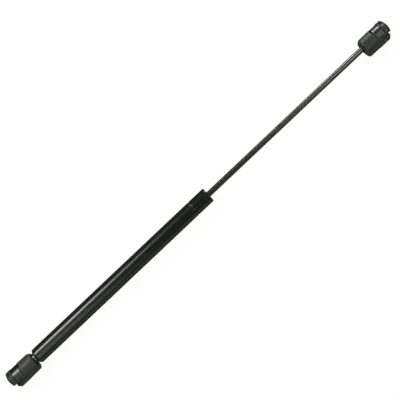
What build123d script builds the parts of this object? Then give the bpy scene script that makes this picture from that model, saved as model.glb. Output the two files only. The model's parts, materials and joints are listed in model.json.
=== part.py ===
from build123d import *
import math
import os

# Gas strut stay: a nitrogen-filled cylinder with a sliding rod and a moulded ball socket at each end.
# Millimetres. The origin is the centre of the ball in the tube-end socket, +X runs along the strut to
# the rod end, and both sockets open towards -Y. The strut is drawn fully extended.

# ---- driving dimensions ----
CENTRES = 500.0  # ball centre to ball centre, extended
STROKE = 200.0
TUBE_R = 8.4
TUBE_WALL = 1.0
TUBE_START = 23.7  # outer face of the closed end
TUBE_END = 264.0  # outer face of the rod end
CLOSED_CORNER_R = 2.4
ROD_CORNER_R = 1.2
GROOVE_X = 243.3  # rolled groove that locates the guide pack
GROOVE_HALF = 1.3
GROOVE_DEPTH = 0.45
LIP_HOLE_R = 3.9
ROD_R = 3.0
JOURNAL_R = 2.25
THREAD_R = 3.0  # M6 on the rod and on the plug's stud
THREAD_CHAMFER = 0.6
UNDERCUT_END = 2.0  # the rod's undercut runs from the counterbore to this depth in the socket
UNDERCUT_DEPTH = 0.45

BALL_R = 5.0
POCKET_R = BALL_R + 0.05
POCKET_WALL = 3.9  # length of the straight pocket wall
THROAT_R = 5.35
MOUTH_R = 6.3
MOUTH_CHAMFER = 0.95

SOCKET_OFFSET = 1.3  # the moulding's own axis lies this far to the mouth side of the strut's axis
SHANK_R = 10.4
HEAD_R = 10.75
SHANK_FACE = 21.0  # ball centre to the moulding's inner face
SHANK_CORNER_R = 2.2
BACK_BEVEL = 2.9  # legs of the bevel on the shank's back corner
DOME_R = 16.0  # the dome is part of a sphere
DOME_APEX = 13.5
RIM_END = 6.6
RIM_STEP = 0.15
BOSS_R = 7.8
BOSS_CORNER_R = 0.8
MOUTH_FACE = HEAD_R + SOCKET_OFFSET
SCREW_DEPTH = 12.0
SCREW_BOTTOM_GAP = 0.6
COUNTERBORE_R = 3.8
COUNTERBORE_DEPTH = 0.8

RECESS_R = 9.4
RECESS_INNER = -4.6
RECESS_OUTER = 5.2
SLIT_START = 0.6
SLIT_NEAR = 6.2  # distances from the strut's axis towards the mouth
SLIT_FAR = 7.5
SLIT_WEB = 6.3  # half thickness of the web left between the two side slits
SLIT_FLOOR = 8.0  # beyond this the slit runs right through
LIP_TOE = 6.1
LIP_HEEL = 9.2
LIP_PLAN_R = 10.4
NOTCH_FLOOR_R = 6.8
NOTCH_OUTER_Y = 8.3
NOTCH_INNER_Y = 3.2
NOTCH_OUTER_X = (-6.5, -4.3)
NOTCH_INNER_X = (-5.2, -4.0)
HOLLOW_INNER = (7.8, 6.4)  # centres of the cored hollow's round ends
HOLLOW_OUTER = (10.6, 6.1)
HOLLOW_R = 1.2
HOLLOW_FLOOR_Z = 4.0
BROW_Y = 2.6  # the flat brow leaves the dome's crown here and slopes down into the hollow
BROW_Z = 10.0
BROW_SLOPE = 43.0
BROW_W = 5.0

STRIP = 0.75  # clip strip thickness
CLIP_R = RECESS_R + 0.1
CLIP_INNER = -4.2
CLIP_OUTER = 4.7
LEG_END = 3.5  # distance from the strut's axis at which the clip's legs stop
BEND_R = 0.5
FOOT_W = 2.8
FOOT_TIP = 3.3
LEG_CORNER_R = 0.8
FOOT_CORNER_R = 0.9
CLIP_TRAVEL = 4.8
WINDOW_GAP = 0.25
WINDOW_SIDE_GAP = 0.2

WASHER_T = 1.0
WASHER_CLEARANCE = 0.2
BUSH_L = 9.2
SEAL_L = 4.0
SEAL_LIP_L = 2.4
SEAL_INNER_LIP = (0.7, 1.6)  # thickness at the lip's edge and at its root
SEAL_OUTER_LIP = (0.6, 1.4)
BACKING_T = 1.2
BACKING_CLEARANCE = 0.3
SPACER_WALL = 1.8
RUNNING = 0.04  # radial running clearance on the rod and in the tube

PLUG_L = 6.5
PLUG_BOSS_R = 5.5
PLUG_GROOVE_START = 3.2  # from the plug's outer face
PLUG_CHAMFER = 0.5
PLUG_HOLE_CLEARANCE = 0.2
O_RING_GROOVE_W = 2.0
O_RING_R = 0.68

DISC_T = 0.8
FRONT_DISC_R = 6.3
REAR_DISC_R = 5.0
BLEED_R = 0.35
BLEED_Y = 5.45
PISTON_L = 4.6
PISTON_R = 7.2
PISTON_FRONT = 241.6  # front face of the front disc when extended
RING_W = 2.0
RING_END_GAP = 0.15
RING_BORE_GAP = 0.08
RING_GROOVE_R = 5.9
RIVET_H = 1.2
RIVET_R = 3.5
RIVET_CORNER_R = 0.9

# ---- worked-out stations along X ----
BORE_R = TUBE_R - TUBE_WALL
PACK_OUTER = TUBE_END - TUBE_WALL
BUSH_END = PACK_OUTER - WASHER_T
SEAL_END = BUSH_END - BUSH_L
BACKING_END = SEAL_END - SEAL_L
SPACER_END = BACKING_END - BACKING_T
SPACER_START = GROOVE_X + GROOVE_HALF
BUSH_MIDDLE = (SEAL_END + BUSH_END) / 2
PLUG_START = TUBE_START + TUBE_WALL
PISTON_END = PISTON_FRONT - DISC_T
PISTON_START = PISTON_END - PISTON_L
PISTON_MIDDLE = (PISTON_START + PISTON_END) / 2
REAR_DISC_START = PISTON_START - DISC_T
THREAD_L = SCREW_DEPTH - SCREW_BOTTOM_GAP
FAR = 40.0  # longer than any socket feature


def revolved(points):
    """A solid of revolution about X from (x, radius) corners."""
    return revolve(make_face(Polyline(*points, close=True)), Axis.X)


def ring(x0, x1, inner_r, outer_r):
    return revolved([(x0, inner_r), (x1, inner_r), (x1, outer_r), (x0, outer_r)])


def along_x(x0, x1, radius, y=0.0):
    """A cylinder from x0 to x1 whose axis is parallel to X."""
    disc = Plane(origin=(x0, y, 0), z_dir=(1, 0, 0)) * Circle(radius)
    return extrude(disc, x1 - x0)


def towards_mouth(start, end, radius, end_radius=None):
    """A cylinder or cone about the socket's mouth axis, between two distances from the ball centre."""
    base = Plane(origin=(0, -start, 0), x_dir=(1, 0, 0), z_dir=(0, -1, 0))
    if end_radius is None:
        return extrude(base * Circle(radius), end - start)
    top = base.offset(end - start)
    return loft([base * Circle(radius), top * Circle(end_radius)])


def block(x0, x1, y0, y1, z0, z1):
    centre = ((x0 + x1) / 2, (y0 + y1) / 2, (z0 + z1) / 2)
    return Pos(*centre) * Box(x1 - x0, y1 - y0, z1 - z0)


def prism(*corners):
    """A polygon in XY, drawn out well past both sides of the socket."""
    return Pos(0, 0, -FAR) * extrude(make_face(Polyline(*corners, close=True)), 2 * FAR)


def rims(solid, radius):
    """The circular edges of this radius, from the lowest X to the highest."""
    circles = solid.edges().filter_by(GeomType.CIRCLE)
    return circles.filter_by(lambda edge: abs(edge.radius - radius) < 0.01).sort_by(Axis.X)


# ---- cylinder ----
def cylinder_tube():
    """Steel tube, rolled over at both ends, with one rolled groove near the rod end."""
    inside = along_x(TUBE_START + TUBE_WALL, TUBE_END - TUBE_WALL, BORE_R)
    shell = along_x(TUBE_START, TUBE_END, TUBE_R) - inside
    shell -= along_x(TUBE_START - 1, PLUG_START + 1, PLUG_BOSS_R + PLUG_HOLE_CLEARANCE)
    shell -= along_x(PACK_OUTER - 1, TUBE_END + 1, LIP_HOLE_R)
    shell = fillet(rims(shell, TUBE_R)[0], CLOSED_CORNER_R)
    shell = fillet(rims(shell, TUBE_R)[-1], ROD_CORNER_R)
    shell = fillet(rims(shell, BORE_R)[0], CLOSED_CORNER_R - TUBE_WALL)
    return shell - groove_ring(TUBE_R, 1.0) + groove_ring(BORE_R, 0.3)


def groove_ring(surface_r, overlap):
    """The rolled groove as a ring: its section is an arc below a surface, and overlap above it."""
    start, end = GROOVE_X - GROOVE_HALF, GROOVE_X + GROOVE_HALF
    sag = ThreePointArc((start, surface_r), (GROOVE_X, surface_r - GROOVE_DEPTH), (end, surface_r))
    lid = Polyline(sag @ 1, (end, surface_r + overlap), (start, surface_r + overlap), sag @ 0)
    return revolve(make_face([sag, lid]), Axis.X)


def end_plug():
    """Turned steel plug that closes the tube, with a boss and an M6 stud for the socket."""
    groove = PLUG_START + PLUG_GROOVE_START
    plug = along_x(PLUG_START, PLUG_START + PLUG_L, BORE_R)
    plug = fillet(rims(plug, BORE_R)[0], CLOSED_CORNER_R - TUBE_WALL)
    plug = chamfer(rims(plug, BORE_R)[-1], PLUG_CHAMFER)
    plug -= ring(groove, groove + O_RING_GROOVE_W, BORE_R - 2 * O_RING_R, BORE_R + 1)
    plug += along_x(SHANK_FACE, PLUG_START, PLUG_BOSS_R)
    stud = along_x(SHANK_FACE - THREAD_L, SHANK_FACE, THREAD_R)
    return plug + chamfer(rims(stud, THREAD_R)[0], THREAD_CHAMFER)


def o_ring(x):
    """A seal ring that touches the bore, centred at x."""
    return Plane(origin=(x, 0, 0), z_dir=(1, 0, 0)) * Torus(BORE_R - O_RING_R, O_RING_R)


def end_plug_o_ring():
    return o_ring(PLUG_START + PLUG_GROOVE_START + O_RING_GROOVE_W / 2)


# ---- guide and seal pack at the rod end ----
def cover_washer():
    return ring(BUSH_END, PACK_OUTER, ROD_R + WASHER_CLEARANCE, BORE_R)


def guide_bush():
    """Plastic bearing for the rod, with a groove for its static seal."""
    half = O_RING_GROOVE_W / 2
    bush = ring(SEAL_END, BUSH_END, ROD_R + RUNNING, BORE_R)
    return bush - ring(BUSH_MIDDLE - half, BUSH_MIDDLE + half, BORE_R - 2 * O_RING_R, BORE_R + 1)


def guide_o_ring():
    return o_ring(BUSH_MIDDLE)


def rod_seal():
    """Lip seal: a U-section ring whose lips face the gas."""
    root = BACKING_END + SEAL_LIP_L
    groove = [
        (BACKING_END, ROD_R + SEAL_INNER_LIP[0]),
        (root, ROD_R + SEAL_INNER_LIP[1]),
        (root, BORE_R - SEAL_OUTER_LIP[1]),
        (BACKING_END, BORE_R - SEAL_OUTER_LIP[0]),
    ]
    return ring(BACKING_END, SEAL_END, ROD_R + RUNNING, BORE_R) - revolved(groove)


def seal_backing_washer():
    return ring(SPACER_END, BACKING_END, ROD_R + BACKING_CLEARANCE, BORE_R)


def spacer_sleeve():
    return ring(SPACER_START, SPACER_END, BORE_R - SPACER_WALL, BORE_R)


# ---- rod and piston ----
def piston_rod():
    """Rod with a riveted journal for the piston and an M6 thread for the socket."""
    face = CENTRES - SHANK_FACE
    rod = along_x(PISTON_FRONT, face + THREAD_L, ROD_R)
    rod = chamfer(rims(rod, ROD_R)[-1], THREAD_CHAMFER)
    undercut_r = THREAD_R - UNDERCUT_DEPTH
    rod -= ring(face + COUNTERBORE_DEPTH, face + UNDERCUT_END, undercut_r, THREAD_R + 1)
    rod += along_x(REAR_DISC_START, PISTON_FRONT, JOURNAL_R)
    head = along_x(REAR_DISC_START - RIVET_H, REAR_DISC_START, RIVET_R)
    return rod + fillet(rims(head, RIVET_R)[0], RIVET_CORNER_R)


def piston_front_disc():
    return ring(PISTON_END, PISTON_FRONT, JOURNAL_R, FRONT_DISC_R)


def piston_rear_disc():
    return ring(REAR_DISC_START, PISTON_START, JOURNAL_R, REAR_DISC_R)


def piston():
    """Piston with a groove for its ring and a bleed hole that sets the speed."""
    half = RING_W / 2 + RING_END_GAP
    body = ring(PISTON_START, PISTON_END, JOURNAL_R, PISTON_R)
    body -= ring(PISTON_MIDDLE - half, PISTON_MIDDLE + half, RING_GROOVE_R, PISTON_R + 1)
    return body - along_x(PISTON_START - 1, PISTON_END + 1, BLEED_R, y=BLEED_Y)


def piston_ring():
    inner_r = RING_GROOVE_R + RING_BORE_GAP
    return ring(PISTON_MIDDLE - RING_W / 2, PISTON_MIDDLE + RING_W / 2, inner_r, BORE_R - RUNNING)


# ---- ball socket ----
def socket_outline():
    """Round moulding with a slight draft, a low rim by the dome and a rounded inner end."""
    side = [
        (-SHANK_FACE, 0),
        (-SHANK_FACE, SHANK_R),
        (RECESS_OUTER, HEAD_R),
        (RIM_END, HEAD_R),
        (RIM_END, HEAD_R - RIM_STEP),
        (FAR, HEAD_R - RIM_STEP),
        (FAR, 0),
    ]
    solid = revolved(side)
    solid = fillet(rims(solid, SHANK_R)[0], SHANK_CORNER_R)
    return Pos(0, -SOCKET_OFFSET, 0) * solid


def end_cuts():
    """What lies outside the spherical dome, the rounded lip and the bevel on the shank's back."""
    ball = Pos(DOME_APEX - DOME_R, 0, 0) * Sphere(DOME_R)
    dome = block(0, FAR, -SLIT_FAR, FAR, -FAR, FAR) - ball
    lip = block(0, FAR + 1, -FAR, -SLIT_FAR, -FAR, FAR) - towards_mouth(0, FAR + 1, LIP_PLAN_R)
    back = SHANK_R - SOCKET_OFFSET
    bevel = prism(
        (-SHANK_FACE, back - BACK_BEVEL),
        (-SHANK_FACE + BACK_BEVEL, back),
        (-SHANK_FACE + BACK_BEVEL, FAR),
        (-FAR, FAR),
        (-FAR, back - BACK_BEVEL),
    )
    return dome + lip + bevel


def clip_recess():
    """The track in which the clip lies: round over the back, flat down both sides."""
    band = block(RECESS_INNER, RECESS_OUTER, -FAR, FAR, -FAR, FAR)
    core = along_x(RECESS_INNER - 1, RECESS_OUTER + 1, RECESS_R, y=-SOCKET_OFFSET)
    core += block(RECESS_INNER - 1, RECESS_OUTER + 1, -FAR, -SOCKET_OFFSET, -RECESS_R, RECESS_R)
    return band - core


def ball_pocket():
    """Spherical seat, straight wall, wider throat and a chamfered mouth."""
    pocket = Sphere(POCKET_R) + towards_mouth(0, POCKET_WALL, POCKET_R)
    pocket += towards_mouth(POCKET_WALL, MOUTH_FACE + 1, THROAT_R)
    return pocket + towards_mouth(MOUTH_FACE - MOUTH_CHAMFER, MOUTH_FACE + 0.01, THROAT_R, MOUTH_R)


def foot_windows():
    """One slot through both cheeks, in which the clip's feet rise and fall."""
    top = CLIP_TRAVEL - LEG_END - BEND_R + WINDOW_GAP
    bottom = -(LEG_END + BEND_R + STRIP + WINDOW_GAP)
    half = FOOT_W / 2 + WINDOW_SIDE_GAP
    return block(-half, half, bottom, top, -CLIP_R, CLIP_R)


def lip_cuts():
    """The slit along each side from the ball line out to the dome, and the sloping end of the lip."""
    middle = (SLIT_NEAR + SLIT_FAR) / 2
    half = (SLIT_FAR - SLIT_NEAR) / 2
    slit = block(SLIT_START + half, FAR, -SLIT_FAR, -SLIT_NEAR, -FAR, FAR)
    slit += Pos(SLIT_START + half, -middle, 0) * Cylinder(half, 2 * FAR)
    slit -= block(-FAR, SLIT_FLOOR, -FAR, FAR, -SLIT_WEB, SLIT_WEB)
    slope = prism(
        (LIP_TOE, -MOUTH_FACE),
        (LIP_HEEL, -SLIT_FAR),
        (FAR, -SLIT_FAR),
        (FAR, -FAR),
        (LIP_TOE, -FAR),
    )
    return slit + slope


def pry_notches():
    """A slanted notch in each side of the recess's inner shoulder, where a blade lifts the clip."""
    wedge = prism(
        (NOTCH_OUTER_X[0], NOTCH_OUTER_Y),
        (NOTCH_OUTER_X[1], NOTCH_OUTER_Y),
        (NOTCH_INNER_X[1], NOTCH_INNER_Y),
        (NOTCH_INNER_X[0], NOTCH_INNER_Y),
    )
    return wedge - along_x(-FAR, FAR, NOTCH_FLOOR_R, y=-SOCKET_OFFSET)


def dome_hollows():
    """A cored slot on each side of the dome's back, with a flat brow sloping down to it."""
    slot = SlotCenterToCenter(math.dist(HOLLOW_INNER, HOLLOW_OUTER), 2 * HOLLOW_R)
    dx, dy = (b - a for a, b in zip(HOLLOW_INNER, HOLLOW_OUTER))
    x, y = ((a + b) / 2 for a, b in zip(HOLLOW_INNER, HOLLOW_OUTER))
    hollow = extrude(Pos(x, y, -FAR) * Rot(0, 0, math.degrees(math.atan2(dy, dx))) * slot, 2 * FAR)
    hollow -= block(0, FAR, -FAR, FAR, -HOLLOW_FLOOR_Z, HOLLOW_FLOOR_Z)
    brow = Pos(0, BROW_Y, BROW_Z) * Rot(-BROW_SLOPE, 0, 0) * block(RIM_END, FAR, 0, BROW_W, 0, FAR)
    return hollow + brow + mirror(brow, Plane.XY)


def socket_body():
    """Ball socket with its ball centre at the origin, its dome towards +X and its mouth towards -Y."""
    boss = towards_mouth(BALL_R, MOUTH_FACE, BOSS_R)
    boss = fillet(boss.edges().sort_by(Axis.Y)[0], BOSS_CORNER_R)
    body = socket_outline() + boss
    body -= end_cuts()
    body -= clip_recess()
    body -= ball_pocket()
    body -= foot_windows()
    body -= lip_cuts()
    body -= pry_notches()
    body -= dome_hollows()
    body -= along_x(-SHANK_FACE - 1, -SHANK_FACE + SCREW_DEPTH, THREAD_R)
    return body - along_x(-SHANK_FACE - 1, -SHANK_FACE + COUNTERBORE_DEPTH, COUNTERBORE_R)


def socket_clip():
    """Spring-steel strip: an arch over the socket's back, two straight legs and two inturned feet."""
    outer_r = CLIP_R + STRIP
    arch = along_x(CLIP_INNER, CLIP_OUTER, outer_r, y=-SOCKET_OFFSET)
    arch -= along_x(CLIP_INNER - 1, CLIP_OUTER + 1, CLIP_R, y=-SOCKET_OFFSET)
    arch &= block(CLIP_INNER, CLIP_OUTER, -SOCKET_OFFSET, FAR, -FAR, FAR)
    clip = arch
    half = FOOT_W / 2
    foot_y = -LEG_END - BEND_R
    for side in (-1, 1):
        z0, z1 = sorted((side * CLIP_R, side * outer_r))
        leg = block(CLIP_INNER, CLIP_OUTER, -LEG_END, -SOCKET_OFFSET, z0, z1)
        corners = leg.edges().filter_by(Axis.Z).group_by(Axis.Y)[0]
        clip += fillet(corners, LEG_CORNER_R)
        bend_z = side * (CLIP_R - BEND_R)
        bend = along_x(-half, half, BEND_R + STRIP) - along_x(-half - 1, half + 1, BEND_R)
        z0, z1 = sorted((0.0, side * FAR))
        bend &= block(-half, half, -FAR, 0, z0, z1)
        clip += Pos(0, -LEG_END, bend_z) * bend
        z0, z1 = sorted((side * FOOT_TIP, bend_z))
        foot = block(-half, half, foot_y - STRIP, foot_y, z0, z1)
        tip = foot.edges().filter_by(Axis.Y).sort_by(Axis.Z)
        tip = tip[:2] if side > 0 else tip[-2:]
        clip += fillet(tip, FOOT_CORNER_R)
    return clip


def at_rod_end(shape):
    return Pos(CENTRES, 0, 0) * shape


def at_tube_end(shape):
    return Rot(0, 180, 0) * shape


parts = {
    "cylinder_tube": cylinder_tube(),
    "end_plug": end_plug(),
    "end_plug_o_ring": end_plug_o_ring(),
    "cover_washer": cover_washer(),
    "guide_bush": guide_bush(),
    "guide_o_ring": guide_o_ring(),
    "rod_seal": rod_seal(),
    "seal_backing_washer": seal_backing_washer(),
    "spacer_sleeve": spacer_sleeve(),
    "piston_rod": piston_rod(),
    "piston_front_disc": piston_front_disc(),
    "piston_rear_disc": piston_rear_disc(),
    "piston": piston(),
    "piston_ring": piston_ring(),
    "rod_end_socket": at_rod_end(socket_body()),
    "rod_end_clip": at_rod_end(socket_clip()),
    "tube_end_socket": at_tube_end(socket_body()),
    "tube_end_clip": at_tube_end(socket_clip()),
}

os.makedirs("parts", exist_ok=True)
for name, shape in parts.items():
    export_step(shape, f"parts/{name}.step")
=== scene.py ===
import json
import math

import bmesh
import bpy
from mathutils import Matrix, Vector


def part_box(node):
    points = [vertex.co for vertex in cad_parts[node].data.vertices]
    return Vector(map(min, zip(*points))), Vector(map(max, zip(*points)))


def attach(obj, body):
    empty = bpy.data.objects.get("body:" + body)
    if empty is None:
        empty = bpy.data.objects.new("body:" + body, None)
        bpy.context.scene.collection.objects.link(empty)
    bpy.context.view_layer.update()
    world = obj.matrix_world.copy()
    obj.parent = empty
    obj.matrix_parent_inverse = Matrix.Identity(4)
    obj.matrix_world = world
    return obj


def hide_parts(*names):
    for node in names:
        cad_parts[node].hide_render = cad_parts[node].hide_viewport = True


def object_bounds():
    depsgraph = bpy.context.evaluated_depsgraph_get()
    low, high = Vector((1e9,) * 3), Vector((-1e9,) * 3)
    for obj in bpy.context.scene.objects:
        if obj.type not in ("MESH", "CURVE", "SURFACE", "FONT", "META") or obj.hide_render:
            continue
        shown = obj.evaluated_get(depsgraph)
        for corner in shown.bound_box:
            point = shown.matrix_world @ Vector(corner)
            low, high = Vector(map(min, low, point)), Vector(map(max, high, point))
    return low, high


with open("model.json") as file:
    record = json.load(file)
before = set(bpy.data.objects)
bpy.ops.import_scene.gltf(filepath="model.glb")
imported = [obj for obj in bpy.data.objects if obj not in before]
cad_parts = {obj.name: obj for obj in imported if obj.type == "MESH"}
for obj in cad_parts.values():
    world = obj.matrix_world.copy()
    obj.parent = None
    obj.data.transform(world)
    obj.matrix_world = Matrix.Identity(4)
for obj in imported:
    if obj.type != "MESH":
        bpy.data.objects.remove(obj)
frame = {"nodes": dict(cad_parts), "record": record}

CAD_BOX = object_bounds()
NODES = frame["nodes"]
SLOT_OF = {s["node"]: s["material_slot"] for s in frame["record"]["subparts"]}
MM = 0.001

# ---- places and sizes worked out from the frame (metres) ----
BALLS = {m["name"]: Vector(m["pos_m"]) for m in frame["record"]["mounts"]}
TUBE_BALL = BALLS["tube_end_ball_socket"]
ROD_BALL = BALLS["rod_end_ball_socket"]
POCKET = frame["record"]["mounts"][0]["dims"]
POCKET_R = POCKET["r_mm"] * MM
POCKET_WALL = POCKET["length_mm"] * MM
MIDDLE = (TUBE_BALL + ROD_BALL) / 2
TUBE_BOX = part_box("cylinder_tube")
PLUG_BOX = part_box("end_plug")
ROD_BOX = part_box("piston_rod")
CLIP_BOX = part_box("rod_end_clip")
O_RING_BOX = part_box("end_plug_o_ring")

# ---- camera ----
CAMERA_HEIGHT = 1.056
SENSOR_WIDTH = 36.0  # in Blender's millimetres, which only set the scale of the lens
VIEW_WIDTH = 0.4061  # width of the picture at the strut's axis
STRUT_TILT = math.radians(43.39)  # the strut climbs to the right by this much
AIM = MIDDLE + Vector((0.0039, 0.00175, 0.0))


def make_camera():
    data = bpy.data.cameras.new("camera")
    data.sensor_width = SENSOR_WIDTH
    data.lens = SENSOR_WIDTH * CAMERA_HEIGHT / VIEW_WIDTH
    data.clip_start = 0.05
    camera = bpy.data.objects.new("camera", data)
    right = Vector((math.cos(STRUT_TILT), -math.sin(STRUT_TILT), 0))
    up = Vector((math.sin(STRUT_TILT), math.cos(STRUT_TILT), 0))
    turn = Matrix((right, up, Vector((0, 0, 1)))).transposed().to_4x4()
    camera.matrix_world = Matrix.Translation(AIM + Vector((0, 0, CAMERA_HEIGHT))) @ turn
    bpy.context.collection.objects.link(camera)
    bpy.context.scene.camera = camera


# ---- light and floor ----
LAMP_TINT = (0.96, 1.0, 0.90)
SOFTBOXES = [  # name, tilt in degrees, distance, x range, width, radiance
    ("key_far", 50, 1.2, (-0.80, -0.24), 0.50, 5.8),
    ("key_left", 50, 1.2, (-0.24, -0.04), 0.52, 8.5),
    ("key_fade", 50, 1.2, (-0.04, 0.11), 0.50, 2.0),
    ("key_right", 84, 1.3, (0.57, 1.60), 0.40, 10.0),
    ("fill_left", -38, 1.5, (-0.80, 0.02), 0.40, 1.1),
    ("strip_left", -14, 1.5, (-0.70, -0.12), 0.22, 2.6),
    ("strip_right", -24, 1.5, (0.66, 1.30), 0.26, 4.5),
    ("ceiling_left", 5, 1.6, (-0.80, -0.16), 1.80, 0.55),
    ("ceiling_right", 5, 1.6, (0.66, 1.40), 1.80, 1.15),
    ("low_side", -86, 1.6, (-0.90, 1.40), 1.10, 0.3),
]
ROOM_TINT = (0.90, 1.0, 0.88)
ROOM_STRENGTH = 0.085
FLOOR_HALF = 4.0
FLOOR_GAP = 0.1 * MM  # under the strut's lowest point
FLOOR_COLOUR = (0.14, 0.14, 0.139)
FLOOR_GLOW = 0.93  # brings the lit floor up to the white of paper


def softbox(name, angle, distance, x_range, width, radiance):
    """A strip light over the strut, tilted from overhead towards +Y by angle in degrees."""
    tilt = math.radians(angle)
    x = sum(x_range) / 2
    length = x_range[1] - x_range[0]
    data = bpy.data.lights.new(name, "AREA")
    data.shape = "RECTANGLE"
    data.color = LAMP_TINT
    data.size, data.size_y = length, width
    data.energy = radiance * length * width * math.pi
    lamp = bpy.data.objects.new(name, data)
    facing = Vector((0, math.sin(tilt), math.cos(tilt)))
    along = Vector((1, 0, 0))
    across = facing.cross(along)
    turn = Matrix((along, across, facing)).transposed().to_4x4()
    lamp.matrix_world = Matrix.Translation(Vector((x, 0, 0)) + facing * distance) @ turn
    lamp.visible_camera = False
    bpy.context.collection.objects.link(lamp)


def make_lights():
    for lamp in SOFTBOXES:
        softbox(*lamp)
    world = bpy.data.worlds.new("studio")
    world.use_nodes = True
    background = world.node_tree.nodes["Background"]
    background.inputs["Color"].default_value = (*ROOM_TINT, 1)
    background.inputs["Strength"].default_value = ROOM_STRENGTH
    bpy.context.scene.world = world


def make_floor():
    level = CAD_BOX[0][2] - FLOOR_GAP
    x0, x1 = MIDDLE.x - FLOOR_HALF, MIDDLE.x + FLOOR_HALF
    y0, y1 = -FLOOR_HALF, FLOOR_HALF
    corners = [(x0, y0, level), (x1, y0, level), (x1, y1, level), (x0, y1, level)]
    mesh = bpy.data.meshes.new("floor")
    mesh.from_pydata(corners, [], [(0, 1, 2, 3)])
    floor = bpy.data.objects.new("floor", mesh)
    bpy.context.collection.objects.link(floor)
    mat, shader, _ = new_material("floor_paper", FLOOR_COLOUR, 0.95)
    shader.inputs["Emission Color"].default_value = (1, 1, 1, 1)
    shader.inputs["Emission Strength"].default_value = FLOOR_GLOW
    floor.data.materials.append(mat)
    floor.visible_glossy = False


# ---- materials ----
def new_material(name, colour, roughness, metallic=0.0):
    mat = bpy.data.materials.new(name)
    mat.use_nodes = True
    shader = mat.node_tree.nodes["Principled BSDF"]
    shader.inputs["Base Color"].default_value = (*colour, 1)
    shader.inputs["Roughness"].default_value = roughness
    shader.inputs["Metallic"].default_value = metallic
    return mat, shader, Weaver(mat)


class Weaver:
    """Short ways to add and join the shader nodes of one material."""

    def __init__(self, mat):
        self.tree = mat.node_tree
        self.shader = self.tree.nodes["Principled BSDF"]
        self.coords = self.tree.nodes.new("ShaderNodeTexCoord").outputs["Object"]
        self.height = None

    def link(self, a, b):
        self.tree.links.new(a, b)

    def stretched(self, scale):
        """Object coordinates, scaled along each axis."""
        mapping = self.tree.nodes.new("ShaderNodeMapping")
        mapping.inputs["Scale"].default_value = scale
        self.link(self.coords, mapping.inputs["Vector"])
        return mapping.outputs["Vector"]

    def noise(self, size, detail=3.0, stretch=(1, 1, 1)):
        """Noise with blobs about size metres across, longer along an axis with a small stretch."""
        node = self.tree.nodes.new("ShaderNodeTexNoise")
        node.inputs["Scale"].default_value = 1 / size
        node.inputs["Detail"].default_value = detail
        self.link(self.stretched(stretch), node.inputs["Vector"])
        return node.outputs["Fac"]

    def ramp(self, value, low, high, a, b):
        """Maps value from low..high to the numbers or colours a..b."""
        if isinstance(a, (int, float)):
            node = self.tree.nodes.new("ShaderNodeMapRange")
            sockets = ("From Min", "From Max", "To Min", "To Max")
            for socket, number in zip(sockets, (low, high, a, b)):
                node.inputs[socket].default_value = number
            self.link(value, node.inputs["Value"])
            return node.outputs["Result"]
        node = self.tree.nodes.new("ShaderNodeValToRGB")
        first, last = node.color_ramp.elements
        first.position, last.position = low, high
        first.color, last.color = (*a, 1), (*b, 1)
        self.link(value, node.inputs["Fac"])
        return node.outputs["Color"]

    def colour(self, value):
        self.link(value, self.shader.inputs["Base Color"])

    def roughness(self, value):
        self.link(value, self.shader.inputs["Roughness"])

    def bump(self, value, depth):
        """Adds one more layer of relief, depth metres deep."""
        node = self.tree.nodes.new("ShaderNodeBump")
        node.inputs["Distance"].default_value = depth
        self.link(value, node.inputs["Height"])
        if self.height:
            self.link(self.height, node.inputs["Normal"])
        self.height = node.outputs["Normal"]
        self.link(self.height, self.shader.inputs["Normal"])


def tube_enamel():
    """Black stoving enamel: deep gloss, faint orange peel, a few dust nibs under the coat."""
    mat, shader, w = new_material("tube_enamel", (0.005, 0.0055, 0.005), 0.25)
    shader.inputs["Coat Weight"].default_value = 0.5
    shader.inputs["Coat Roughness"].default_value = 0.16
    cloud = w.noise(30 * MM, 4, (0.3, 1, 1))
    w.colour(w.ramp(cloud, 0.3, 0.7, (0.0032, 0.0044, 0.0034), (0.0056, 0.0073, 0.0058)))
    w.roughness(w.ramp(w.noise(6 * MM, 5), 0.3, 0.7, 0.20, 0.28))
    w.bump(w.noise(1.6 * MM, 2), 0.0022 * MM)
    w.bump(w.noise(0.35 * MM, 2, (0.4, 1, 1)), 0.0005 * MM)
    return mat


def rod_nitrided():
    """Ground and nitrided steel: dark olive grey, with fine rings left by the grinding wheel."""
    mat, shader, w = new_material("rod_nitrided", (0.13, 0.13, 0.118), 0.3, 1.0)
    shader.inputs["Anisotropic"].default_value = 0.35
    rings = w.noise(0.4 * MM, 4, (1, 0.02, 0.02))
    w.colour(w.ramp(w.noise(25 * MM, 4), 0.3, 0.7, (0.11, 0.111, 0.098), (0.145, 0.146, 0.134)))
    w.roughness(w.ramp(rings, 0.3, 0.7, 0.22, 0.36))
    w.bump(rings, 0.0015 * MM)
    return mat


def nylon():
    """Glass-filled black nylon: satin, slightly green-grey, with fine grain and soft flow marks."""
    mat, _, w = new_material("nylon", (0.03, 0.035, 0.031), 0.45)
    flow = w.noise(3.5 * MM, 5, (0.35, 1, 1))
    w.colour(w.ramp(flow, 0.32, 0.68, (0.025, 0.031, 0.026), (0.040, 0.048, 0.041)))
    w.roughness(w.ramp(w.noise(1.2 * MM, 5), 0.3, 0.7, 0.38, 0.52))
    w.bump(w.noise(0.7 * MM, 4), 0.013 * MM)
    w.bump(w.noise(0.18 * MM, 3, (0.5, 1, 1)), 0.007 * MM)
    return mat


def clip_steel():
    """Blued spring steel: dark with a cold sheen, drawn lines along the strip, straw tints."""
    mat, _, w = new_material("clip_blued", (0.085, 0.092, 0.09), 0.28, 1.0)
    tint = w.noise(4 * MM, 3)
    w.colour(w.ramp(tint, 0.3, 0.7, (0.066, 0.075, 0.083), (0.098, 0.104, 0.108)))
    lines = w.noise(0.25 * MM, 3, (1, 0.05, 0.05))
    w.roughness(w.ramp(lines, 0.3, 0.7, 0.24, 0.36))
    w.bump(lines, 0.002 * MM)
    return mat


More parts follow.
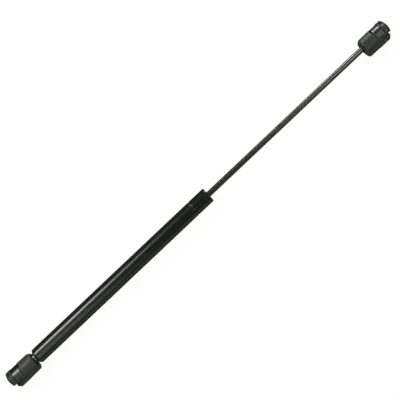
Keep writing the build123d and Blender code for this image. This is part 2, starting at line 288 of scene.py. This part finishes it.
def turned_steel(name, dark, light, low, high):
    """Turned or stamped steel, with the tool's rings across X."""
    mat, _, w = new_material(name, light, low, 1.0)
    rings = w.noise(0.3 * MM, 3, (1, 0.03, 0.03))
    w.colour(w.ramp(w.noise(3 * MM, 4), 0.3, 0.7, dark, light))
    w.roughness(w.ramp(rings, 0.3, 0.7, low, high))
    w.bump(rings, 0.004 * MM)
    return mat


def moulded(name, dark, light, low, high, grain):
    """Moulded plastic or rubber, with a mottled colour and a fine grain."""
    mat, _, w = new_material(name, light, low)
    w.colour(w.ramp(w.noise(4 * MM, 4), 0.3, 0.7, dark, light))
    w.roughness(w.ramp(w.noise(1 * MM, 4), 0.3, 0.7, low, high))
    w.bump(w.noise(0.3 * MM, 3), grain)
    return mat


def make_looks():
    """One material for each slot. A recipe is two colours, two roughnesses and perhaps a grain."""
    steels = {
        "plug_steel": ("plug_phosphated", (0.07, 0.075, 0.07), (0.14, 0.148, 0.138), 0.18, 0.28),
        "zinc_steel": ("zinc_plated", (0.42, 0.43, 0.42), (0.6, 0.6, 0.57), 0.25, 0.4),
        "piston_metal": ("die_cast", (0.35, 0.35, 0.34), (0.5, 0.5, 0.48), 0.35, 0.55),
    }
    nitrile = (0.008, 0.008, 0.008), (0.016, 0.016, 0.016), 0.5, 0.7, 0.01 * MM
    acetal = (0.6, 0.58, 0.5), (0.72, 0.7, 0.63), 0.35, 0.5, 0.006 * MM
    filled_ptfe = (0.05, 0.13, 0.1), (0.09, 0.2, 0.16), 0.35, 0.5, 0.006 * MM
    looks = {
        "tube_paint": tube_enamel(),
        "rod_steel": rod_nitrided(),
        "socket_nylon": nylon(),
        "clip_steel": clip_steel(),
    }
    for slot, recipe in steels.items():
        looks[slot] = turned_steel(*recipe)
    looks["seal_rubber"] = moulded("nitrile", *nitrile)
    looks["guide_plastic"] = moulded("acetal", *acetal)
    looks["ring_plastic"] = moulded("filled_ptfe", *filled_ptfe)
    return looks


# ---- mesh tools ----
SEGMENTS = 128  # round a turned piece
ARC_STEPS = 6  # in a rounded corner
HOLD = 0.25 * MM  # from a flat or straight run's end to the point that keeps it flat
TINY = 1e-9
STRAIGHT = math.radians(89)  # half the angle of a corner too flat to round


def rounded(corners):
    """An outline through (x, r, radius) corners, each rounded by an arc of its own radius."""
    points = []
    count = len(corners)
    for i, (x, r, radius) in enumerate(corners):
        here = Vector((x, r))
        back = (Vector(corners[i - 1][:2]) - here).normalized()
        on = (Vector(corners[(i + 1) % count][:2]) - here).normalized()
        half = back.angle(on) / 2
        if radius <= 0 or half > STRAIGHT:
            points.append(here)
            continue
        centre = here + (back + on).normalized() * (radius / math.sin(half))
        start = here + back * (radius / math.tan(half)) - centre
        end = here + on * (radius / math.tan(half)) - centre
        sweep = start.angle_signed(end)
        for k in range(ARC_STEPS + 1):
            points.append(centre + Matrix.Rotation(-sweep * k / ARC_STEPS, 2) @ start)
    return points


def mesh_object(name, bm):
    bmesh.ops.recalc_face_normals(bm, faces=bm.faces)
    mesh = bpy.data.meshes.new(name)
    bm.to_mesh(mesh)
    bm.free()
    for face in mesh.polygons:
        face.use_smooth = True
    piece = bpy.data.objects.new(name, mesh)
    bpy.context.collection.objects.link(piece)
    return piece


def held(outline):
    """The outline with a point near both ends of each long run, which keeps its shading flat."""
    line = []
    for a, b in zip(outline, outline[1:] + outline[:1]):
        line.append(a)
        run = b - a
        if run.length > 4 * HOLD and max(abs(a.y), abs(b.y)) > TINY:
            line += [a + run.normalized() * HOLD, b - run.normalized() * HOLD]
    return line


def lathe(name, outline, centre=Vector((0, 0, 0)), axis="X", segments=SEGMENTS):
    """A closed outline of (along, radius) points turned about X, or about -Y, through centre."""
    bm = bmesh.new()
    rings = []
    for along, radius in held([Vector(point) for point in outline]):
        if abs(radius) < TINY:
            spot = Vector((along, 0, 0)) if axis == "X" else Vector((0, -along, 0))
            rings.append([bm.verts.new(centre + spot)] * segments)
            continue
        ring = []
        for k in range(segments):
            a = 2 * math.pi * k / segments
            c, s = radius * math.cos(a), radius * math.sin(a)
            spot = Vector((along, c, s)) if axis == "X" else Vector((c, -along, s))
            ring.append(bm.verts.new(centre + spot))
        rings.append(ring)
    for i, ring in enumerate(rings):
        after = rings[(i + 1) % len(rings)]
        for k in range(segments):
            j = (k + 1) % segments
            loop = [ring[k], ring[j], after[j], after[k]]
            loop = [v for n, v in enumerate(loop) if v not in loop[:n]]
            if len(loop) > 2:
                bm.faces.new(loop)
    return mesh_object(name, bm)


def prism(name, corners, depth, plane="XY"):
    """A polygon in the XY or YZ plane, extruded to both sides by depth."""
    bm = bmesh.new()
    for side in (-depth, depth):
        for a, b in corners:
            bm.verts.new((a, b, side) if plane == "XY" else (side, a, b))
    bm.verts.ensure_lookup_table()
    n = len(corners)
    bm.faces.new(bm.verts[:n])
    bm.faces.new(bm.verts[n:])
    for k in range(n):
        j = (k + 1) % n
        bm.faces.new((bm.verts[k], bm.verts[j], bm.verts[n + j], bm.verts[n + k]))
    return mesh_object(name, bm)


def modify(piece, kind, **settings):
    modifier = piece.modifiers.new(kind.lower(), kind)
    for key, value in settings.items():
        setattr(modifier, key, value)
    return modifier


def apply(piece):
    """Turns the piece's modifiers into its mesh."""
    deps = bpy.context.evaluated_depsgraph_get()
    mesh = bpy.data.meshes.new_from_object(piece.evaluated_get(deps))
    old = piece.data
    piece.modifiers.clear()
    piece.data = mesh
    bpy.data.meshes.remove(old)


def combine(piece, tools, operation):
    """Cuts the tools from the piece, or joins them to it, and removes them."""
    for tool in tools:
        modify(piece, "BOOLEAN", operation=operation, solver="MANIFOLD", object=tool)
        apply(piece)
        bpy.data.objects.remove(tool)


def finish_piece(piece, body, node, looks):
    """Gives the piece its node's material and slot, and puts it in the node's place."""
    slot = SLOT_OF[node]
    piece.data.materials.clear()
    piece.data.materials.append(looks[slot])
    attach(piece, body)
    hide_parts(node)


# ---- cylinder and rod ----
TUBE_WALL = 1.0 * MM
PLUG_HOLE_R = 5.7 * MM  # in the tube's rolled end, round the plug's boss
ROD_HOLE_R = 3.9 * MM
GROOVE_FROM_END = 219.6 * MM
GROOVE_HALF, GROOVE_DEPTH = 0.9 * MM, 0.42 * MM
STUD_R = 3.0 * MM
BOSS_R = 5.5 * MM
O_RING_PLAY = 0.3 * MM
O_RING_SEAT = 1.36 * MM  # depth of the plug's groove
ROD_R, JOURNAL_R, RIVET_R = 3.0 * MM, 2.25 * MM, 3.5 * MM
NECK = (0.8 * MM, 2.0 * MM)  # the thread's run-out on the rod, from the moulding's face
NECK_DEPTH = 0.45 * MM


def with_groove(outline, x, half, depth, steps=14):
    """The outline with a groove rolled smoothly into each straight run that passes x."""
    line = []
    for a, b in zip(outline, outline[1:] + outline[:1]):
        line.append(a)
        if min(a.x, b.x) < x - half and max(a.x, b.x) > x + half:
            way = 1 if a.x < b.x else -1
            for k in range(steps + 1):
                u = way * (2 * k / steps - 1)
                dip = depth * 0.5 * (1 + math.cos(math.pi * u))
                line.append(Vector((x + u * half, a.y - dip)))
    return line


def tube_shell(looks):
    x0, x1 = TUBE_BOX[0][0], TUBE_BOX[1][0]
    outer = TUBE_BOX[1][1]
    bore = outer - TUBE_WALL
    shape = rounded(
        [
            (x0, PLUG_HOLE_R, 0.3 * MM),
            (x0, outer, 2.4 * MM),
            (x1, outer, 1.2 * MM),
            (x1, ROD_HOLE_R, 0.35 * MM),
            (x1 - TUBE_WALL, ROD_HOLE_R, 0.2 * MM),
            (x1 - TUBE_WALL, bore, 0.25 * MM),
            (x0 + TUBE_WALL, bore, 1.4 * MM),
            (x0 + TUBE_WALL, PLUG_HOLE_R, 0.2 * MM),
        ]
    )
    grooved = with_groove(shape, x0 + GROOVE_FROM_END, GROOVE_HALF, GROOVE_DEPTH)
    finish_piece(lathe("tube_shell", grooved), "cylinder", "cylinder_tube", looks)


def turned_plug(looks):
    x0, x1 = PLUG_BOX[0][0], PLUG_BOX[1][0]
    outer = PLUG_BOX[1][1]
    boss = TUBE_BALL.x + SOCKET_REACH
    inner = TUBE_BOX[0][0] + TUBE_WALL
    seat = O_RING_BOX[0][0] - O_RING_PLAY, O_RING_BOX[1][0] + O_RING_PLAY
    floor = outer - O_RING_SEAT
    shape = rounded(
        [
            (x0, 0, 0),
            (x0, STUD_R, 0.6 * MM),
            (boss, STUD_R, 0.1 * MM),
            (boss, BOSS_R, 0.35 * MM),
            (inner, BOSS_R, 0.1 * MM),
            (inner, outer, 1.3 * MM),
            (seat[0], outer, 0.1 * MM),
            (seat[0], floor, 0.2 * MM),
            (seat[1], floor, 0.2 * MM),
            (seat[1], outer, 0.1 * MM),
            (x1, outer, 0.5 * MM),
            (x1, 0, 0),
        ]
    )
    finish_piece(lathe("turned_plug", shape), "cylinder", "end_plug", looks)


def rod_bar(looks):
    x0, x1 = ROD_BOX[0][0], ROD_BOX[1][0]
    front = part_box("piston_front_disc")[1][0]
    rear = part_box("piston_rear_disc")[0][0]
    face = ROD_BALL.x - SOCKET_REACH
    neck_r = ROD_R - NECK_DEPTH
    shape = rounded(
        [
            (x0, 0, 0),
            (x0, RIVET_R, 0.9 * MM),
            (rear, RIVET_R, 0.1 * MM),
            (rear, JOURNAL_R, 0),
            (front, JOURNAL_R, 0),
            (front, ROD_R, 0.15 * MM),
            (face + NECK[0], ROD_R, 0.1 * MM),
            (face + NECK[0], neck_r, 0.15 * MM),
            (face + NECK[1], neck_r, 0.15 * MM),
            (face + NECK[1], ROD_R, 0.1 * MM),
            (x1, ROD_R, 0.6 * MM),
            (x1, 0, 0),
        ]
    )
    finish_piece(lathe("rod_bar", shape), "rod", "piston_rod", looks)


# ---- ball socket moulding, drawn with its ball centre at the origin and its dome towards +X ----
SOCKET_OFFSET = 1.3 * MM
HEAD_R = 10.75 * MM
SHANK_R = 10.4 * MM
SOCKET_REACH = 21.0 * MM  # ball centre to the inner face
DOME_R = 16.0 * MM
DOME_APEX = 13.5 * MM
MOUTH_FACE = HEAD_R + SOCKET_OFFSET
RECESS_R = 9.4 * MM
RECESS = (-4.6 * MM, 5.2 * MM)
NOTCH_FLOOR_R = 6.8 * MM
SLIT_NEAR, SLIT_FAR = 6.2 * MM, 7.5 * MM
SLIT_START = 0.6 * MM
SLIT_WEB = (8.0 * MM, 6.3 * MM)  # left uncut between the slits: its end in X, its half width
LIP_TOE, LIP_HEEL = 6.1 * MM, 9.2 * MM  # where the lip's slope meets the mouth and the slit
LIP_PLAN_R = 10.4 * MM
MOUTH_BOSS_R = 7.8 * MM
THROAT_R, MOUTH_R, FLARE = 5.35 * MM, 6.3 * MM, 0.95 * MM
CAST_EDGE = 6.6 * MM  # the dome is a little smaller than the head beyond this X
HOLLOW = (Vector((7.8, 6.4)) * MM, Vector((10.6, 6.1)) * MM)  # centres of its rounded ends
HOLLOW_R = 1.2 * MM
HOLLOW_FLOOR = 4.0 * MM
BROW_TOP = Vector((2.6, 10.0)) * MM  # Y and Z
BROW_SLOPE = math.radians(43)
BROW_WIDTH = 5.0 * MM
WINDOW_HALF = 1.6 * MM
WINDOW_Y = (-5.0 * MM, 1.05 * MM)
WINDOW_REACH = RECESS_R + 0.1 * MM
THREAD_R, COUNTERBORE_R, COUNTERBORE_X = 3.02 * MM, 3.8 * MM, -20.2 * MM
THREAD_END, DRILL_TIP = -9.0 * MM, -7.7 * MM
BEVEL_MM = [(-21.0, 6.2), (-18.1, 9.1), (-18.1, 40), (-40, 40), (-40, 6.2)]  # off the shank's back
NOTCH_MM = [(-6.5, 8.3), (-4.3, 8.3), (-4.0, 3.2), (-5.2, 3.2)]  # beside the clip
AXIS = Vector((0, -SOCKET_OFFSET, 0))
FAR = 40 * MM  # longer than any socket feature
VOXEL = 0.2 * MM


def socket_outline():
    """The turned body: a slightly tapered shank, the head, and stock for the dome."""
    dome_r, stock = HEAD_R - 0.15 * MM, 16.0 * MM
    return rounded(
        [
            (-SOCKET_REACH, 0, 0),
            (-SOCKET_REACH, SHANK_R, 2.2 * MM),
            (RECESS[1], HEAD_R, 0),
            (CAST_EDGE, HEAD_R, 0),
            (CAST_EDGE, dome_r, 0),
            (stock, dome_r, 0),
            (stock, 0, 0),
        ]
    )


def pocket_outline():
    """The ball pocket, from its spherical seat out through the throat and the flared mouth."""
    steps = 16
    line = []
    for k in range(steps + 1):
        a = math.pi / 2 * (1 - k / steps)
        line.append(Vector((-POCKET_R * math.sin(a), POCKET_R * math.cos(a))))
    line += [Vector((POCKET_WALL, POCKET_R)), Vector((POCKET_WALL, THROAT_R))]
    for k in range(ARC_STEPS + 1):
        u = k / ARC_STEPS
        bell = 1 - math.sqrt(1 - u * u)
        line.append(Vector((MOUTH_FACE - FLARE * (1 - u), THROAT_R + (MOUTH_R - THROAT_R) * bell)))
    outside = MOUTH_FACE + 2 * MM
    return line + [Vector((outside, MOUTH_R)), Vector((outside, 0))]


def u_track(radius, reach):
    """A U in the YZ plane: round over the back, with straight sides down past the mouth."""
    steps = 64
    arc = []
    for k in range(steps + 1):
        a = math.pi * k / steps
        arc.append((-SOCKET_OFFSET + radius * math.sin(a), radius * math.cos(a)))
    return arc + [(-reach, -radius), (-reach, radius)]


def box_prism(name, x_range, y_range, depth):
    (x0, x1), (y0, y1) = x_range, y_range
    return prism(name, [(x0, y0), (x1, y0), (x1, y1), (x0, y1)], depth)


def prism_mm(name, corners):
    """A polygon in XY, given in millimetres and drawn out well past both sides of the socket."""
    return prism(name, [(x * MM, y * MM) for x, y in corners], FAR)


def slot_prism(name, a, b, radius):
    """A round-ended slot between two centres in XY."""
    steps = 12
    start = math.atan2(b.y - a.y, b.x - a.x) - math.pi / 2
    outline = []
    for centre, first in ((b, start), (a, start + math.pi)):
        for k in range(steps + 1):
            turn = first + math.pi * k / steps
            outline.append(centre + Vector((math.cos(turn), math.sin(turn))) * radius)
    return prism(name, outline, FAR)


def end_tools():
    """What lies outside the spherical dome, the rounded lip and the bevel on the shank's back."""
    steps = 128
    turns = [math.pi * k / steps for k in range(steps + 1)]
    ball = [(DOME_APEX - DOME_R - DOME_R * math.cos(a), DOME_R * math.sin(a)) for a in turns]
    dome = box_prism("dome_waste", (0, FAR), (-SLIT_FAR, FAR), FAR)
    combine(dome, [lathe("dome_ball", ball, segments=192)], "DIFFERENCE")
    lip = box_prism("lip_waste", (0, 2 * FAR), (-2 * FAR, -SLIT_FAR), FAR)
    plan = [(0, 0), (0, LIP_PLAN_R), (3 * FAR, LIP_PLAN_R), (3 * FAR, 0)]
    combine(lip, [lathe("lip_plan", plan, axis="Y", segments=192)], "DIFFERENCE")
    return [dome, lip, prism_mm("bevel", BEVEL_MM)]


def brow_tools():
    """The flat brows that slope from the dome's crown down into the hollows."""
    along = Vector((math.cos(BROW_SLOPE), -math.sin(BROW_SLOPE)))
    outward = Vector((math.sin(BROW_SLOPE), math.cos(BROW_SLOPE)))
    end = BROW_TOP + along * BROW_WIDTH
    corners = [BROW_TOP, end, end + outward * FAR, BROW_TOP + outward * FAR]
    tools = []
    for side in (1, -1):
        brow = prism("brow", [(c.x, c.y * side) for c in corners], FAR, "YZ")
        rest = box_prism("brow_rest", (-2 * FAR, CAST_EDGE), (-2 * FAR, 2 * FAR), 2 * FAR)
        combine(brow, [rest], "DIFFERENCE")
        tools.append(brow)
    return tools


def shoulder_tools():
    """The clip's track, the notches beside it and the hollows in the dome."""
    recess = box_prism("recess", RECESS, (-FAR, FAR), FAR)
    combine(recess, [prism("track", u_track(RECESS_R, 2 * FAR), FAR, "YZ")], "DIFFERENCE")
    notch = prism_mm("notch", NOTCH_MM)
    floor = [(-FAR, 0), (-FAR, NOTCH_FLOOR_R), (FAR, NOTCH_FLOOR_R), (FAR, 0)]
    combine(notch, [lathe("notch_floor", floor, AXIS)], "DIFFERENCE")
    hollow = slot_prism("hollow", *HOLLOW, HOLLOW_R)
    core = box_prism("hollow_floor", (0, FAR), (-FAR, FAR), HOLLOW_FLOOR)
    combine(hollow, [core], "DIFFERENCE")
    return [recess, notch, hollow] + brow_tools()


def mouth_tools():
    """The ball pocket, the slot for the clip's feet, the side slits and the slope of the lip."""
    pocket = lathe("pocket", pocket_outline(), axis="Y", segments=96)
    window = box_prism("window", (-WINDOW_HALF, WINDOW_HALF), WINDOW_Y, WINDOW_REACH)
    half = (SLIT_FAR - SLIT_NEAR) / 2
    start, middle = SLIT_START + half, SLIT_NEAR + half
    steps = 12
    turns = [math.pi * k / steps for k in range(steps + 1)]
    end = [(start - half * math.sin(a), -middle - half * math.cos(a)) for a in turns]
    slit = prism("slit", end + [(FAR, -SLIT_NEAR), (FAR, -SLIT_FAR)], FAR)
    web = box_prism("web", (-FAR, SLIT_WEB[0]), (-FAR, FAR), SLIT_WEB[1])
    combine(slit, [web], "DIFFERENCE")
    slope = [(LIP_TOE, -MOUTH_FACE), (LIP_HEEL, -SLIT_FAR), (FAR, -SLIT_FAR)]
    lip = prism("lip_slope", slope + [(FAR, -FAR), (LIP_TOE, -FAR)], FAR)
    return [pocket, window, slit, lip]


def screw_tool():
    """The tapped hole for the rod or the plug's stud, with its counterbore."""
    outline = [
        (-FAR, 0),
        (-FAR, COUNTERBORE_R),
        (COUNTERBORE_X, COUNTERBORE_R),
        (COUNTERBORE_X, THREAD_R),
        (THREAD_END, THREAD_R),
        (DRILL_TIP, 0),
    ]
    return lathe("screw", outline, segments=64)


def moulding():
    """The socket's body, with every edge softened as a mould leaves it."""
    body = lathe("moulding", socket_outline(), AXIS, segments=192)
    root = 5 * MM  # well inside the body
    side = [(root, 0, 0), (root, MOUTH_BOSS_R, 0)]
    boss = rounded(side + [(MOUTH_FACE, MOUTH_BOSS_R, 0.8 * MM), (MOUTH_FACE, 0, 0)])
    combine(body, [lathe("boss", boss, axis="Y")], "UNION")
    tools = end_tools() + shoulder_tools() + mouth_tools() + [screw_tool()]
    combine(body, tools, "DIFFERENCE")
    modify(body, "REMESH", mode="VOXEL", voxel_size=VOXEL, use_smooth_shade=True)
    modify(body, "SMOOTH", factor=0.5, iterations=3)
    apply(body)
    return body


# ---- clip, drawn in the same place as the moulding ----
STRIP = 0.75 * MM
STRIP_EDGE_R = 0.2 * MM
STRIP_SEAT_R = 9.5 * MM
LEG_END = -3.5 * MM
FOOT_TIP = 3.3 * MM
FOOT_HALF = 1.4 * MM
LEG_CORNER = 0.9 * MM


def quarter(u):
    """The height of a quarter circle at u from 0 to 1."""
    return math.sqrt(1 - (1 - u) ** 2)


def clip_path():
    """The strip's middle line, from one foot's tip over the back to the other: y, z, half width."""
    middle_r = STRIP_SEAT_R + STRIP / 2
    bend = 0.5 * MM + STRIP / 2
    foot_y = LEG_END - bend
    wide = (CLIP_BOX[1][0] - CLIP_BOX[0][0]) / 2
    side = []
    tip_steps, bend_steps, corner_steps, arch_steps = 6, 8, 7, 72
    for k in range(tip_steps + 1):
        u = k / tip_steps
        side.append((foot_y, FOOT_TIP + 0.9 * MM * u, FOOT_HALF * (0.35 + 0.65 * quarter(u))))
    side.append((foot_y, middle_r - bend - 2 * MM, FOOT_HALF))
    for k in range(bend_steps + 1):
        a = math.pi / 2 * k / bend_steps
        y = LEG_END - bend * math.cos(a)
        side.append((y, middle_r - bend + bend * math.sin(a), FOOT_HALF))
    side.append((LEG_END + 0.02 * MM, middle_r, wide - LEG_CORNER))
    for k in range(1, corner_steps + 1):
        u = k / corner_steps
        half_w = wide - LEG_CORNER + LEG_CORNER * quarter(u)
        side.append((LEG_END + LEG_CORNER * u, middle_r, half_w))
    arch = []
    for k in range(arch_steps + 1):
        a = math.pi * k / arch_steps
        arch.append((-SOCKET_OFFSET + middle_r * math.sin(a), middle_r * math.cos(a), wide))
    return side + arch + [(y, -z, w) for y, z, w in reversed(side)]


def bar_section(half_w, half_t, edge):
    """A flat bar's section: rounded corners, and points beside them that keep its faces flat."""
    points = []
    inner_w, inner_t = half_w - edge, half_t - edge
    for sx, sy, first in ((1, 1, 0), (-1, 1, 90), (-1, -1, 180), (1, -1, 270)):
        corner = []
        for k in range(4):
            a = math.radians(first + 30 * k)
            corner.append((sx * inner_w + edge * math.cos(a), sy * inner_t + edge * math.sin(a)))
        beside = [(sx * (inner_w - HOLD), sy * half_t)]
        points += corner + beside if sx * sy > 0 else beside + corner
    return points


def clip_strip(name):
    """The strip: a rounded bar section carried along the path."""
    path = clip_path()
    centre_x = (CLIP_BOX[1][0] + CLIP_BOX[0][0]) / 2 - ROD_BALL.x
    bm = bmesh.new()
    rings = []
    for i, (y, z, half_w) in enumerate(path):
        before, after = path[max(i - 1, 0)], path[min(i + 1, len(path) - 1)]
        run = Vector((0, after[0] - before[0], after[1] - before[1])).normalized()
        out = Vector((0, -run.z, run.y))
        shift = 0.0 if half_w <= FOOT_HALF else centre_x
        section = bar_section(half_w, STRIP / 2, STRIP_EDGE_R)
        rings.append([bm.verts.new(Vector((shift + px, y, z)) + out * py) for px, py in section])
    n = len(rings[0])
    for a, b in zip(rings, rings[1:]):
        for k in range(n):
            j = (k + 1) % n
            bm.faces.new((a[k], a[j], b[j], b[k]))
    bm.faces.new(rings[0])
    bm.faces.new(rings[-1])
    return mesh_object(name, bm)


def place(piece, ball, turned):
    """Moves a piece drawn about the origin to its ball centre, end for end if it is turned."""
    turn = Matrix.Rotation(math.pi, 4, "Y") if turned else Matrix.Identity(4)
    piece.data.transform(Matrix.Translation(ball) @ turn)


def copy_piece(piece, name):
    twin = bpy.data.objects.new(name, piece.data.copy())
    bpy.context.collection.objects.link(twin)
    return twin


def ball_sockets(looks):
    rod_end = moulding()
    rod_end.name = "rod_end_moulding"
    tube_end = copy_piece(rod_end, "tube_end_moulding")
    rod_clip = clip_strip("rod_end_strip")
    tube_clip = copy_piece(rod_clip, "tube_end_strip")
    for piece, ball, turned, body, node in (
        (rod_end, ROD_BALL, False, "rod", "rod_end_socket"),
        (tube_end, TUBE_BALL, True, "cylinder", "tube_end_socket"),
        (rod_clip, ROD_BALL, False, "rod_clip", "rod_end_clip"),
        (tube_clip, TUBE_BALL, True, "tube_clip", "tube_end_clip"),
    ):
        place(piece, ball, turned)
        finish_piece(piece, body, node, looks)


make_camera()
make_lights()
make_floor()
LOOKS = make_looks()
tube_shell(LOOKS)
turned_plug(LOOKS)
rod_bar(LOOKS)
ball_sockets(LOOKS)
for node_name, node in NODES.items():
    node.data.materials.clear()
    node.data.materials.append(LOOKS[SLOT_OF[node_name]])
bpy.context.scene.view_settings.view_transform = "Standard"
